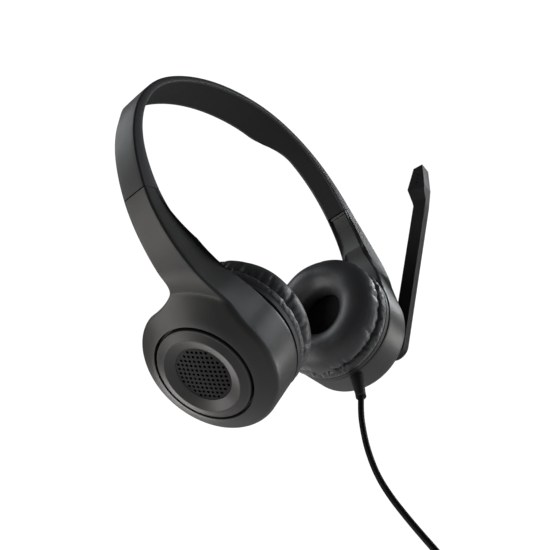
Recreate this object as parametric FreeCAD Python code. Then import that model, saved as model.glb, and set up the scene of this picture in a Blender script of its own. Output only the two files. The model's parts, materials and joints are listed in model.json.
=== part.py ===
import FreeCAD, Part
import math
import os

# Wired on-ear office headset, millimetres. +X is the wearer's left, -Y the wearer's front, +Z up.
# The origin lies midway between the two ear cushions, on the line through their centres.

V = FreeCAD.Vector

# ---- driving dimensions: ear cups ------------------------------------------------------------
EAR_GAP_HALF = 26.2      # origin to the middle of each cushion's face, headset not worn
CUP_DEPTH = 43.7         # cup rim plane to cushion face
CUP_TILT = 27.8          # the cups' outer faces look down by this many degrees
CUP_YAW = 7.4            # and towards the rear by this many
RIM_R = 31.0             # outer radius of a cup
SHELL_DEPTH = 18.6       # depth of the cup shell behind its rim
WALL = 1.9               # wall of the cup shell
FACE_HOLE_R = 22.3       # round opening in the cup's outer face
FACE_R = 21.2            # disc that fills it, leaving the ring groove
LEDGE_R = 19.0           # ledge under the disc
GRILLE_R = 12.6          # perforated grille in the right disc
GRILLE_PITCH = 2.1       # spacing of its holes, in a square field
GRILLE_TURN = 28.0       # the field is turned by this many degrees
GRILLE_HOLE_R = 0.64
GRILLE_EDGE = 0.95       # from the outermost hole centres to the grille's rim
TILT_PIVOT_H = -12.0     # inner cup's pivot line, behind the rim plane
REST_TILT = 2.2          # the inner cups rest with their tops leaning inwards
CAN_R = 27.9             # inner cup body
PAD_R = 31.4             # cushion
EAR_HOLE_R = 15.4        # hole in the cushion, for the ear

# ---- driving dimensions: headband and arms ---------------------------------------------------
CROWN_Z = 120.3          # top of the headband
BAND_ARCS = ((115.0, 34.8), (73.2, 69.0), (97.3, 80.0))   # radius, length, from the crown down
SEAM_S = 122.5           # where the arm leaves the headband, measured along the outer face
ARM_END_S = 176.0        # where the arm's outer face has sunk into the cup
CROWN_THICK = 3.2        # headband thickness at the crown
SEAM_THICK_GAIN = 5.1    # how much thicker it is at the seam
ARM_THICK_MAX = 15.0
BAND_FRONT = -16.8       # front edge of band and arms
BAND_REAR = 2.5          # rear edge at the crown
ARM_REAR = -4.1          # rear edge of the band's ends and of the arms
SKIN = 1.3               # skin of the hollow headband
FIT = 0.1                # gap between neighbouring pieces of one body
STRIP_R = 115.0          # radius of the sliding strip's arc
STRIP_DEPTH = 4.0        # strip's middle below the band's outer face, at the seam
STRIP_THICK = 1.2
STRIP_UP = 36.0          # strip length inside the band
STRIP_DOWN = 24.0        # strip length inside the arm
STRIP_Y = (-13.4, -7.6)  # strip's edges, front and rear

# ---- driving dimensions: microphone boom -----------------------------------------------------
BOOM_LEAN = 21.9         # stowed boom leans this far forward of the cup's own up direction
BOOM_IN = 6.4            # height of the boom's inner face above the cup's rim plane
BOOM_OUT = 12.4
BOOM_SPLIT = 9.4
BOOM_FRONT = 27.2        # boom's front edge, from the cup's axis
BOOM_REAR = 19.5
FOOT_R = 8.0             # rounded foot of the boom
HEAD_IN = 3.2            # inner face of the microphone head

# ---- driving dimensions: cord and plug -------------------------------------------------------
CORD_D = 3.0
COIL_R = 17.8            # radius at the middle of the coil's turns
COIL_SECTION = 7.0       # radius of the coil's bundle of 15 turns
OUTER_TURN = 5.2         # the outermost turn lies this far outside the bundle's middle
CORD_REACH = 10.5        # the straight cord meets the bundle this far above the coil's centre
PLUG_R = 1.75            # 3.5 mm plug
PLUG_CORE_R = 1.0        # insulated core inside the contacts
PLUG_BODY_R = 3.9
PLUG_BODY_LENGTH = 15.0
PLUG_TAIL = 7.0
PLUG_CLEARANCE = 4.4     # plug's axis in front of the coil's bundle



# ---- small tools -----------------------------------------------------------------------------
def edges_to_face(points, close=True):
    """Face from points; a point given as (middle, end) makes an arc."""
    edges = []
    start = points[0]
    last = start
    for item in points[1:]:
        if isinstance(item, tuple):
            edges.append(Part.Arc(last, item[0], item[1]).toShape())
            last = item[1]
        else:
            edges.append(Part.LineSegment(last, item).toShape())
            last = item
    if close:
        edges.append(Part.LineSegment(last, start).toShape())
    return Part.Face(Part.Wire(edges))


def turned(profile):
    """Solid of revolution about Z from (radius, height) pairs; a pair of pairs makes an arc."""
    points = []
    for item in profile:
        if isinstance(item[0], tuple):
            points.append((V(item[0][0], 0, item[0][1]), V(item[1][0], 0, item[1][1])))
        else:
            points.append(V(item[0], 0, item[1]))
    return edges_to_face(points).revolve(V(0, 0, 0), V(0, 0, 1), 360)


def tube(r_in, r_out, low, high):
    return turned([(r_in, low), (r_out, low), (r_out, high), (r_in, high)])


def rod(radius, low, high, x=0.0, y=0.0):
    return Part.makeCylinder(radius, high - low, V(x, y, low), V(0, 0, 1))


def group(shapes):
    return Part.makeCompound(shapes)


def slab(outline, low, high):
    """Prism along Z from (x, y) pairs; a pair of pairs makes an arc."""
    points = []
    for item in outline:
        if isinstance(item[0], tuple):
            points.append((V(item[0][0], item[0][1], low), V(item[1][0], item[1][1], low)))
        else:
            points.append(V(item[0], item[1], low))
    return edges_to_face(points).extrude(V(0, 0, high - low))


# ---- frames ----------------------------------------------------------------------------------
def cup_axes():
    tilt = math.radians(CUP_TILT)
    yaw = math.radians(CUP_YAW)
    out = V(math.cos(tilt) * math.cos(yaw), math.sin(yaw), -math.sin(tilt) * math.cos(yaw))
    rear = V(0, 1, 0) - out * out.y
    rear.normalize()
    return rear, out.cross(rear), out


def cup_placement():
    """Cup frame: X to the rear, Y up along the cup's face, Z outwards, origin in the rim plane."""
    rear, up, out = cup_axes()
    centre = V(EAR_GAP_HALF, 0, 0) + out * CUP_DEPTH
    return FreeCAD.Placement(FreeCAD.Matrix(rear.x, up.x, out.x, centre.x,
                                            rear.y, up.y, out.y, centre.y,
                                            rear.z, up.z, out.z, centre.z,
                                            0, 0, 0, 1))


def inner_cup_placement():
    """The cup frame, leaned about the pivot line so that the cushion's top comes inwards."""
    lean = FreeCAD.Placement(V(0, 0, 0), FreeCAD.Rotation(V(1, 0, 0), -REST_TILT),
                             V(0, 0, TILT_PIVOT_H))
    return cup_placement().multiply(lean)


def boom_placement():
    """Cup frame turned so that X runs along the stowed boom."""
    turn = FreeCAD.Placement(V(0, 0, 0), FreeCAD.Rotation(V(0, 0, 1), 90 + BOOM_LEAN))
    return cup_placement().multiply(turn)


def placed(shape, placement):
    moved = shape.copy()
    moved.Placement = placement.multiply(moved.Placement)
    return moved


def cup(shape):
    return placed(shape, cup_placement())


def inner(shape):
    return placed(shape, inner_cup_placement())


def boom(shape):
    return placed(shape, boom_placement())


# ---- headband curve --------------------------------------------------------------------------
def band_state(s):
    """Point on the band's outer face and its heading below +X, at arc length s from the crown."""
    x, z, heading = 0.0, CROWN_Z, 0.0
    left = s
    for radius, length in BAND_ARCS:
        step = min(left, length)
        turn = step / radius
        x += radius * (math.sin(heading + turn) - math.sin(heading))
        z += radius * (math.cos(heading + turn) - math.cos(heading))
        heading += turn
        left -= step
    return x, z, heading


def thickness(s):
    return min(CROWN_THICK + SEAM_THICK_GAIN * (abs(s) / SEAM_S) ** 3.6, ARM_THICK_MAX)


def under(s, depth):
    """Point that lies depth below the outer face."""
    x, z, heading = band_state(abs(s))
    x -= depth * math.sin(heading)
    z -= depth * math.cos(heading)
    return V(math.copysign(x, s), 0, z)


def curve(points):
    spline = Part.BSplineCurve()
    spline.interpolate(points)
    return spline.toShape()


def layer(s0, s1, upper, lower, y0, y1, count):
    """Solid between two depths, given as functions of arc length, from y0 to y1."""
    stations = [s0 + (s1 - s0) * i / (count - 1) for i in range(count)]
    outer = [under(s, upper(s)) for s in stations]
    lining = [under(s, lower(s)) for s in stations]
    wire = Part.Wire([curve(outer),
                      Part.LineSegment(outer[-1], lining[-1]).toShape(),
                      curve(lining[::-1]),
                      Part.LineSegment(lining[0], outer[0]).toShape()])
    face = Part.Face(wire)
    face.translate(V(0, y0, 0))
    return face.extrude(V(0, y1 - y0, 0))


def flat(depth):
    return lambda s: depth


def from_lining(gap):
    """Depth of a surface that lies a little above the band's inner face."""
    return lambda s: thickness(s) - gap


def band_outline(inset):
    """Band seen from above: its rear edge steps forward between crown and ends."""
    rear = BAND_REAR - inset
    ends = ARM_REAR - inset
    front = BAND_FRONT + inset
    side = 95.0
    step_in, step_mid, step_out = 50.0, 58.5, 67.0
    half = []
    for sign in (1, -1):
        bend = curve([V(sign * step_in, rear, 0), V(sign * (step_in + 3), rear - 0.4, 0),
                      V(sign * step_mid, (rear + ends) / 2, 0),
                      V(sign * (step_out - 3), ends + 0.4, 0), V(sign * step_out, ends, 0)])
        half.append(bend)
    edges = [Part.LineSegment(V(-step_in, rear, 0), V(step_in, rear, 0)).toShape(),
             half[0],
             Part.LineSegment(V(step_out, ends, 0), V(side, ends, 0)).toShape(),
             Part.LineSegment(V(side, ends, 0), V(side, front, 0)).toShape(),
             Part.LineSegment(V(side, front, 0), V(-side, front, 0)).toShape(),
             Part.LineSegment(V(-side, front, 0), V(-side, ends, 0)).toShape(),
             Part.LineSegment(V(-side, ends, 0), V(-step_out, ends, 0)).toShape(),
             half[1]]
    face = Part.Face(Part.Wire(Part.__sortEdges__(edges)))
    return face.extrude(V(0, 0, 140))


# ---- headband pieces -------------------------------------------------------------------------
def headband_shell():
    body = layer(-SEAM_S, SEAM_S, flat(0.0), thickness, -30, 10, 33).common(band_outline(0.0))
    hollow = layer(-SEAM_S - 0.2, SEAM_S + 0.2, flat(SKIN), from_lining(-2.0), -30, 10, 33)
    return body.cut(hollow.common(band_outline(SKIN)))


def headband_liner():
    end = SEAM_S - 0.15
    plate = layer(-end, end, from_lining(1.0), thickness, -30, 10, 33)
    plate = plate.common(band_outline(SKIN + FIT))
    return plate.cut([guide_screws(0.75), mirrored(guide_screws(0.75))])


def spring_strip():
    return layer(-80, 80, flat(SKIN + 0.05), flat(SKIN + 0.5), -13.4, -6.2, 21)


def band_lead():
    return layer(-84, 84, flat(SKIN + 0.55), flat(SKIN + 0.8), -11.0, -8.8, 21)


def strip_centre():
    x, z, heading = band_state(SEAM_S)
    outwards = V(math.sin(heading), 0, math.cos(heading))
    return V(x, 0, z) - outwards * (STRIP_DEPTH + STRIP_R), outwards


def strip_sector(half_thick, up, down, y0, y1):
    """Part of a ring about the strip's centre, from up above the seam to down below it."""
    centre, outwards = strip_centre()
    mid = math.atan2(outwards.z, outwards.x)
    radius_out = STRIP_R + half_thick
    radius_in = STRIP_R - half_thick

    def at(radius, travel):
        angle = mid + travel / STRIP_R
        return centre + V(radius * math.cos(angle), 0, radius * math.sin(angle))

    middle = (up - down) / 2
    face = edges_to_face([at(radius_out, up), (at(radius_out, middle), at(radius_out, -down)),
                          at(radius_in, -down), (at(radius_in, middle), at(radius_in, up))],
                         close=True)
    face.translate(V(0, y0, 0))
    return face.extrude(V(0, y1 - y0, 0))


def slider_strip():
    """Steel strip with a row of shallow detent notches in its rear edge."""
    strip = strip_sector(STRIP_THICK / 2, STRIP_UP, STRIP_DOWN, *STRIP_Y)
    centre, outwards = strip_centre()
    mid = math.atan2(outwards.z, outwards.x)
    for i in range(9):
        angle = mid + (STRIP_UP - 4.0 - 2.5 * i) / STRIP_R
        spot = centre + V(math.cos(angle), 0, math.sin(angle)) * (STRIP_R - 2)
        notch = Part.makeCylinder(0.8, 4.0, V(spot.x, STRIP_Y[1] + 0.35, spot.z),
                                  V(math.cos(angle), 0, math.sin(angle)))
        strip = strip.cut(notch)
    return strip


def slider_guide():
    """Moulded channel in the band's end; the strip runs through its slot."""
    block = layer(103.0, SEAM_S - 0.4, flat(SKIN + 0.1), from_lining(1.15), -15.2, -5.6, 9)
    slot = strip_sector(STRIP_THICK / 2 + 0.12, 60, 60, STRIP_Y[0] - 0.12, STRIP_Y[1] + 0.12)
    pocket = layer(108.0, 116.0, flat(SKIN), from_lining(1.0), STRIP_Y[1] - 0.1, -6.5, 5)
    return block.cut(slot).cut(pocket)


def detent_spring():
    """Small leaf spring that bears on the strip's rear edge."""
    return layer(108.2, 115.8, flat(SKIN + 1.6), flat(SKIN + 3.4), STRIP_Y[1] + 0.3, -6.7, 5)


def guide_screws(radius):
    screws = []
    for s in (105.2, SEAM_S - 3.0):
        heading = band_state(s)[2]
        out = V(math.sin(heading), 0, math.cos(heading))
        head = under(s, thickness(s) - 0.55) + V(0, -6.4, 0)
        screws.append(Part.makeCylinder(radius, 0.5, head, out * -1))
    return group(screws)


# ---- arm and cup shell -----------------------------------------------------------------------
def arm_outline(inset):
    """Arm seen from the side: straight edges that flare into the round of the cup."""
    rim_y = cup_placement().Base.y
    x = 30.0
    front = [V(x, BAND_FRONT, 105), V(x, BAND_FRONT, 50), V(x, -17.8, 33), V(x, -19.2, 21),
             V(x, -20.8, 11), V(x, -22.7, -1), V(x, -24.2, -13)]
    rear = [V(x, ARM_REAR, 105), V(x, ARM_REAR, 50), V(x, ARM_REAR - 0.5, 30),
            V(x, ARM_REAR - 1.1, 15)]
    front = [p + V(0, inset, 0) for p in front]
    rear = [p - V(0, inset, 0) for p in rear]
    corner = [V(x, ARM_REAR + 0.6 - inset, 9.2), V(x, rim_y - 3.4, 6.4)]
    edges = [Part.LineSegment(front[0], rear[0]).toShape(),
             curve(front),
             curve(rear + corner),
             Part.LineSegment(corner[-1], V(x, rim_y - 3.4, -13)).toShape(),
             Part.LineSegment(V(x, rim_y - 3.4, -13), front[-1]).toShape()]
    return Part.Face(Part.Wire(Part.__sortEdges__(edges))).extrude(V(80, 0, 0))


def cup_round():
    """Full round of the cup, without its hollow."""
    return turned([(0.0, -SHELL_DEPTH), (RIM_R + 0.4, -SHELL_DEPTH), (RIM_R, -2.0),
                   ((RIM_R - 0.6, -0.5), (RIM_R - 1.9, 0.4)),
                   ((26.6, 2.6), (FACE_HOLE_R, 4.5)), (0.0, 4.5)])


def cup_hollow():
    """Inside of the cup shell, the ledge and the opening for the face disc."""
    room = RIM_R - WALL
    return turned([(0.0, -40.0), (room + 0.2, -40.0), (room, -4.0), (room - 2.0, -1.4),
                   (LEDGE_R, -1.2), (LEDGE_R, 1.0), (FACE_HOLE_R, 1.0), (FACE_HOLE_R, 20.0),
                   (0.0, 20.0)])


def boss_pins():
    """Bosses for the inner cup's pivot pins, front and rear."""
    bosses = []
    for sign in (1, -1):
        bosses.append(Part.makeCylinder(3.0, 1.0, V(sign * 28.3, 0, TILT_PIVOT_H),
                                        V(sign, 0, 0)))
    return bosses


def pin_bores(radius):
    bores = []
    for sign in (1, -1):
        bores.append(Part.makeCylinder(radius, 5.0, V(sign * 25.6, 0, TILT_PIVOT_H),
                                       V(sign, 0, 0)))
    return bores


def arm_body():
    outer = layer(SEAM_S + 0.3, ARM_END_S, flat(0.0), thickness, -40, 40, 15)
    outer = outer.common(arm_outline(0.0))
    pocket = layer(SEAM_S, 160.0, flat(1.8), lambda s: thickness(s) + 2.0, -40, 40, 13)
    below = slab([(-60, 29.6), (60, 29.6), (60, 120), (-60, 120)], -60, 30)
    pocket = pocket.common(arm_outline(1.5)).common(cup(below))
    shell = cup(cup_round()).fuse(outer.cut(pocket))
    shell = shell.cut(cup(cup_hollow()))
    lip = layer(SEAM_S + 0.2, SEAM_S + 1.8, flat(1.0), lambda s: thickness(s) - 1.4,
                BAND_FRONT + 1.0, ARM_REAR - 1.0, 3)
    slot = strip_sector(STRIP_THICK / 2, 10, 10, *STRIP_Y)
    shell = shell.fuse(lip.cut(slot))
    shell = shell.fuse([cup(b) for b in boss_pins()])
    shell = shell.cut([cup(b) for b in pin_bores(1.5)])
    return shell.removeSplitter()


def arm_shell_left():
    relief_hole = Part.makeCylinder(NECK_R + 0.05, 30, *relief_axis_local(24.0))
    return arm_body().cut(cup(relief_hole))


def arm_cover():
    """Inner cover that closes the arm's channel."""
    plate = layer(SEAM_S + 1.9, 158.0, lambda s: thickness(s) - 1.3,
                  lambda s: thickness(s) - 0.1, -40, 40, 11)
    outside = slab([(-60, RIM_R + 0.6), (60, RIM_R + 0.6), (60, 120), (-60, 120)], -60, 30)
    return plate.common(arm_outline(1.6)).common(cup(outside))


def arm_screws():
    screws = []
    for s in (SEAM_S + 7.0, SEAM_S + 20.0):
        heading = band_state(s)[2]
        out = V(math.sin(heading), 0, math.cos(heading))
        base = under(s, STRIP_DEPTH + 0.9 + 0.02 * (s - SEAM_S)) + V(0, -10.5, 0)
        head = Part.makeCylinder(1.7, 0.9, base - out * 0.9, out)
        screws.append(head)
    return group(screws)


def strip_anchor():
    """Block inside the arm that clamps the strip's lower end."""
    block = layer(SEAM_S + 2.2, SEAM_S + 24.0, flat(1.85), lambda s: STRIP_DEPTH + 0.7, -14.9,
                  -7.0, 7)
    return block.cut(strip_sector(STRIP_THICK / 2 + 0.02, 10, 40, STRIP_Y[0] - 0.02,
                                  STRIP_Y[1] + 0.02))


def tilt_pins():
    pins = []
    for sign in (1, -1):
        pins.append(Part.makeCylinder(1.5, 3.9, V(sign * 26.0, 0, TILT_PIVOT_H), V(sign, 0, 0)))
    return group(pins)


def face_disc():
    """Right disc: raised ring, dish and a seat for the grille."""
    return turned([(GRILLE_R - 1.2, 2.0), (LEDGE_R - 0.2, 2.0), (LEDGE_R - 0.2, 1.1),
                   (FACE_R, 1.1), (FACE_R, 4.2), ((FACE_R - 0.2, 4.7), (FACE_R - 0.8, 4.9)),
                   (17.4, 6.1), ((17.0, 6.15), (16.6, 6.0)), (GRILLE_R, 4.3),
                   (GRILLE_R, 3.2), (GRILLE_R - 1.2, 3.2)])


def grille():
    """Round grille with a square field of small holes."""
    plate = turned([(0.0, 3.3), (GRILLE_R - 0.08, 3.3), (GRILLE_R - 0.08, 4.2),
                    ((GRILLE_R / 2, 4.62), (0.0, 4.75))])
    holes = []
    reach = GRILLE_R - GRILLE_EDGE
    steps = int(reach / GRILLE_PITCH) + 1
    cos_turn = math.cos(math.radians(GRILLE_TURN))
    sin_turn = math.sin(math.radians(GRILLE_TURN))
    for i in range(-steps, steps + 1):
        for j in range(-steps, steps + 1):
            x = (i * cos_turn - j * sin_turn) * GRILLE_PITCH
            y = (i * sin_turn + j * cos_turn) * GRILLE_PITCH
            if math.hypot(x, y) <= reach:
                holes.append(rod(GRILLE_HOLE_R, 3.0, 6.0, x, y))
    return plate.cut(holes)


def dust_cloth():
    return rod(GRILLE_R - 1.4, 2.6, 3.1)


# ---- inner cup -------------------------------------------------------------------------------
def back_cup():
    """Can that carries the driver, with a flange that shows between shell and cushion."""
    can = turned([(0.0, -6.4), (CAN_R - 2.4, -6.4), (CAN_R, -8.4), (CAN_R, -20.2),
                  (RIM_R + 0.1, -20.2), (RIM_R + 0.1, -22.6), (CAN_R - 1.5, -22.6),
                  (CAN_R - 1.5, -9.0), (CAN_R - 3.0, -7.9), (0.0, -7.9)])
    return can.cut(pin_bores(1.55))


def baffle_plate():
    """Plate in front of the driver, with sound holes."""
    plate = turned([(0.0, -24.2), (RIM_R - 0.6, -24.2), (RIM_R - 0.6, -22.65),
                    (0.0, -22.65)])
    holes = [rod(1.1, -26, -20)]
    for ring_r, count in ((4.2, 6), (8.2, 12)):
        for i in range(count):
            angle = 2 * math.pi * i / count
            holes.append(rod(1.1, -26, -20, ring_r * math.cos(angle), ring_r * math.sin(angle)))
    return plate.cut(holes)


def driver_frame():
    return turned([(8.3, -15.0), (11.5, -15.0), (13.0, -19.6), (15.4, -19.8), (15.4, -22.6),
                   (14.4, -22.6), (14.4, -21.0), (12.2, -20.8), (10.6, -16.2), (8.3, -16.2)])


def driver_magnet():
    return rod(8.2, -16.2, -11.0).cut(tube(4.0, 4.8, -20.0, -13.5))


def diaphragm():
    """Domed cone with its surround, bonded to the voice coil that runs in the magnet's gap."""
    cone = turned([(0.0, -20.6), (2.4, -20.4), (4.4, -19.8), (6.0, -19.4), (12.6, -21.1),
                   (14.2, -21.1), (14.2, -21.5), (12.4, -21.5), (6.0, -19.8), (4.4, -20.2),
                   (2.4, -20.8), (0.0, -21.0)])
    return cone.fuse(tube(4.1, 4.7, -19.95, -14.0))


def ear_cloth():
    return rod(14.9, -24.75, -24.3)


def cushion_ring():
    return tube(20.0, 30.0, -25.5, -24.3)


def ear_screws():
    screws = []
    for i in range(3):
        angle = math.radians(90 + 120 * i)
        x = 17.4 * math.cos(angle)
        y = 17.4 * math.sin(angle)
        screws.append(rod(1.5, -25.2, -24.25, x, y))
    return group(screws)


def cushion_outline(gap):
    """Section of the padded ring, from the ear hole round to the crease, gap inside the cover."""
    return [(EAR_HOLE_R + gap + 0.3, -26.0), (PAD_R - 1.2 - gap, -26.0),
            (PAD_R - 1.3 - gap, -28.7),
            ((PAD_R - gap, -34.0), (27.6 - gap / 2, -41.0 + gap)),
            ((25.4, -42.9 + gap), (22.4, -43.7 + gap)),
            ((17.5, -41.9 + gap), (EAR_HOLE_R + gap, -37.6))]


def cushion_foam():
    return turned(cushion_outline(0.85))


def cushion_cover():
    """Leatherette cover with the skirt that reaches back over the baffle plate."""
    skirt = turned([(EAR_HOLE_R + 0.3, -25.6), (30.55, -25.6), (30.55, -22.75), (30.9, -22.75),
                    ((31.7, -25.4), (PAD_R - 1.3, -28.7)), (20.0, -28.7)])
    cover = skirt.fuse(turned(cushion_outline(0.0)))
    return cover.cut(turned(cushion_outline(0.8))).removeSplitter()


# ---- microphone boom -------------------------------------------------------------------------
FOOT_S = -1.0
FOOT_W = BOOM_FRONT - FOOT_R
HEAD_FRONT = [(86.0, BOOM_FRONT), (98.0, 26.5), (112.8, 23.0)]
HEAD_REAR = [(110.5, 17.6), (96.0, 15.8), (86.0, BOOM_REAR)]


def boom_plan(inset):
    """Outline of the boom in its own plane: rounded foot, straight bar, six-sided head."""
    front = BOOM_FRONT - inset
    rear = BOOM_REAR + inset
    radius = FOOT_R - inset
    fillet_s = FOOT_S + 20.0
    outline = [(FOOT_S, front)]
    outline += [(s - inset * 0.3, w - inset) for s, w in HEAD_FRONT[:2]]
    outline.append((HEAD_FRONT[2][0] - inset, HEAD_FRONT[2][1] - inset * 0.6))
    outline.append((HEAD_REAR[0][0] - inset * 0.6, HEAD_REAR[0][1] + inset))
    outline += [(s, w + inset) for s, w in HEAD_REAR[1:]]
    outline.append((fillet_s, rear))
    outline.append(((FOOT_S + 11.0, rear - 1.6), (FOOT_S + 4.0, FOOT_W - radius + 1.1)))
    outline.append((FOOT_S, FOOT_W - radius))
    outline.append(((FOOT_S - radius, FOOT_W), (FOOT_S, front)))
    return outline


def boom_slab(inset, low, high):
    points = []
    for item in boom_plan(inset):
        if isinstance(item[0], tuple):
            points.append((V(item[0][0], item[0][1], low), V(item[1][0], item[1][1], low)))
        else:
            points.append(V(item[0], item[1], low))
    return edges_to_face(points, close=False).extrude(V(0, 0, high - low))


def mic_pocket():
    return rod(3.6, HEAD_IN + 0.9, BOOM_SPLIT + 1.2, 103.0, 20.9)


def boom_inner_half():
    """Inner half with the deeper microphone head, its ramp and three sound holes."""
    half = boom_slab(0.0, BOOM_IN, BOOM_SPLIT - 0.05)
    head_plan = [(89.0, BOOM_FRONT - 0.3), (98.0, 26.5), (112.8, 23.0), (110.5, 17.6),
                 (96.0, 15.8), (89.0, 18.3)]
    head = slab(head_plan, HEAD_IN, BOOM_IN + 0.5)
    ramp = edges_to_face([V(88.0, 0, HEAD_IN - 1), V(95.5, 0, HEAD_IN - 1), V(95.5, 0, HEAD_IN),
                          V(88.0, 0, BOOM_IN + 0.6)]).extrude(V(0, 40, 0))
    half = half.fuse(head.cut(ramp))
    half = half.cut(mic_pocket())
    for s in (100.4, 103.0, 105.6):
        half = half.cut(rod(0.5, HEAD_IN - 2, BOOM_IN, s, 21.2))
    wire_way = slab([(6.0, 21.0), (99.0, 21.0), (99.0, 23.6), (6.0, 23.6)], BOOM_IN + 1.2,
                    BOOM_SPLIT)
    return half.cut(wire_way).removeSplitter()


def boom_outer_half():
    low = boom_slab(0.0, BOOM_SPLIT + 0.05, BOOM_OUT - 0.9)
    cap = boom_slab(0.9, BOOM_OUT - 0.9, BOOM_OUT)
    return low.fuse(cap).cut(mic_pocket())


def boom_disc():
    """Turntable in the left cup's face; its boss carries the boom's foot."""
    disc = turned([(0.0, 2.6), (15.0, 2.6), (15.0, -2.25), (LEDGE_R - 0.3, -2.25),
                   (LEDGE_R - 0.3, 1.1), (FACE_R, 1.1), (FACE_R, 4.2),
                   ((FACE_R - 0.2, 4.7), (FACE_R - 0.8, 4.9)), (15.0, 5.6), (0.0, 5.6)])
    boss = rod(4.6, 3.0, BOOM_IN - 0.03, FOOT_S, 15.6)
    return disc.fuse(boss)


def boom_retainer():
    """Ring behind the ledge that keeps the turntable in."""
    return tube(13.0, LEDGE_R + 1.6, -3.5, -2.3)


def boom_washer():
    """Friction washer under the ledge."""
    return tube(LEDGE_R + 0.1, LEDGE_R + 1.8, -2.2, -1.25)


def boom_screws():
    screws = []
    for i in range(3):
        angle = math.radians(30 + 120 * i)
        screws.append(rod(1.3, -4.1, -3.55, 16.2 * math.cos(angle), 16.2 * math.sin(angle)))
    return group(screws)


def mic_capsule():
    return rod(3.0, HEAD_IN + 1.5, HEAD_IN + 4.2, 103.0, 20.9)


def mic_boot():
    """Rubber boot that holds the capsule in the head."""
    boot = rod(3.55, HEAD_IN + 1.0, HEAD_IN + 4.8, 103.0, 20.9)
    return boot.cut(rod(3.02, HEAD_IN + 1.45, HEAD_IN + 4.22, 103.0, 20.9)).cut(
        rod(1.2, HEAD_IN, HEAD_IN + 3, 103.0, 20.9))


def mic_lead():
    return slab([(6.5, 21.8), (98.5, 21.8), (98.5, 22.8), (6.5, 22.8)], BOOM_IN + 1.25,
                BOOM_SPLIT - 0.1)


def junction_board():
    """Small board in the left inner cup where the cord's wires are soldered."""
    return Part.makeBox(15.0, 7.0, 1.0, V(-7.5, -21.0, -12.0))


# ---- strain relief, cord and plug ------------------------------------------------------------
RELIEF_TURN = 6.5        # degrees forward of the cup's lowest point
RELIEF_TOP = (31.7, -14.1)
RELIEF_END = (44.5, -17.0)
RELIEF_THICK = 3.6       # radius of its root
RELIEF_THIN = 2.5
NECK_R = 2.15            # the part that passes through the cup's wall
COLLAR_R = 2.65
# Route of the hanging cord, from the strain relief to the top of the coil, chosen by hand.
CORD_ROUTE = [(25.5, 0.0, -58.4), (18.8, -0.8, -66.7), (10.7, -3.0, -75.9),
              (1.1, -7.5, -87.2), (-6.0, -13.1, -96.9), (-11.1, -18.5, -105.2),
              (-15.3, -23.7, -113.3), (-18.7, -28.5, -120.7), (-22.3, -33.2, -127.7),
              (-25.2, -37.3, -134.8), (-26.6, -40.3, -142.0), (-27.0, -41.8, -149.0),
              (-27.0, -42.0, -155.5)]


def relief_point(radius, height):
    angle = math.radians(RELIEF_TURN)
    return V(-math.sin(angle) * radius, -math.cos(angle) * radius, height)


def relief_axis_local(start_radius):
    a = relief_point(*RELIEF_TOP)
    b = relief_point(*RELIEF_END)
    way = b - a
    way.normalize()
    return a - way * (RELIEF_TOP[0] - start_radius), way


def relief_frame():
    """Start, end and direction of the strain relief in the model's frame."""
    place = cup_placement()
    a = place.multVec(relief_point(*RELIEF_TOP))
    b = place.multVec(relief_point(*RELIEF_END))
    way = b - a
    way.normalize()
    return a, b, way


def strain_relief():
    """Tapered rubber sleeve with a collar at its end, bored for the cord."""
    a, b, way = relief_frame()
    neck = Part.makeCylinder(NECK_R, 3.6, a - way * 3.1, way)
    taper = Part.makeCone(RELIEF_THICK, RELIEF_THIN, (b - a).Length, a - way, way)
    taper = taper.cut(cup(cup_round()))
    collar = Part.makeCylinder(COLLAR_R, 2.6, b - way * 2.6, way)
    return neck.fuse([taper, collar]).removeSplitter()


def rounded_path(points):
    """Straight runs joined by tangent arcs, each as large as its two runs allow."""
    edges = []
    radii = []
    last = points[0]
    for before, corner, after in zip(points, points[1:], points[2:]):
        run_in = corner - before
        run_out = after - corner
        turn = run_in.getAngle(run_out)
        cut = 0.45 * min(run_in.Length, run_out.Length)
        radii.append(cut / math.tan(turn / 2))
        dir_in = run_in.normalize()
        dir_out = run_out.normalize()
        start = corner - dir_in * cut
        end = corner + dir_out * cut
        bisector = (dir_out - dir_in).normalize()
        centre_gap = radii[-1] / math.cos(turn / 2)
        centre = corner + bisector * centre_gap
        middle = centre - bisector * radii[-1]
        edges.append(Part.LineSegment(last, start).toShape())
        edges.append(Part.Arc(start, middle, end).toShape())
        last = end
    edges.append(Part.LineSegment(last, points[-1]).toShape())
    return Part.Wire(edges), radii


def cord_points():
    a, b, way = relief_frame()
    return [b] + [V(*p) for p in CORD_ROUTE]


def cord_run():
    points = cord_points()
    path, radii = rounded_path(points)
    start_way = points[1] - points[0]
    circle = Part.Wire([Part.Circle(points[0], start_way, CORD_D / 2).toShape()])
    solid = path.makePipeShell([circle], True, False)
    section = math.pi * CORD_D ** 2 / 4
    print("cord run", round(path.Length, 1), "mm, volume ratio",
          round(solid.Volume / (section * path.Length), 4))
    print("cord radii", [round(r, 1) for r in radii])
    return solid


def coil_centre():
    """The coil hangs with its plane upright, and the cord runs down into its side."""
    end = V(*CORD_ROUTE[-1])
    return end + V(COIL_R + OUTER_TURN, 0, -CORD_REACH)


def cord_coil():
    return Part.makeTorus(COIL_R, COIL_SECTION, coil_centre(), V(0, 1, 0))


def coil_tie():
    """Hook-and-loop strap wrapped round the bundle, where the cord joins it."""
    centre = coil_centre() - V(COIL_R, 0, 0)
    strap = Part.makeCylinder(COIL_SECTION + 1.3, 9.0, centre - V(0, 0, 4.5), V(0, 0, 1))
    return strap.cut(Part.makeTorus(COIL_R, COIL_SECTION + 0.05, coil_centre(), V(0, 1, 0)))


def plug_origin():
    """Rear end of the plug's body, beside the coil's lowest point."""
    return coil_centre() + V(0, -COIL_SECTION - PLUG_CLEARANCE, -6.0)


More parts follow.
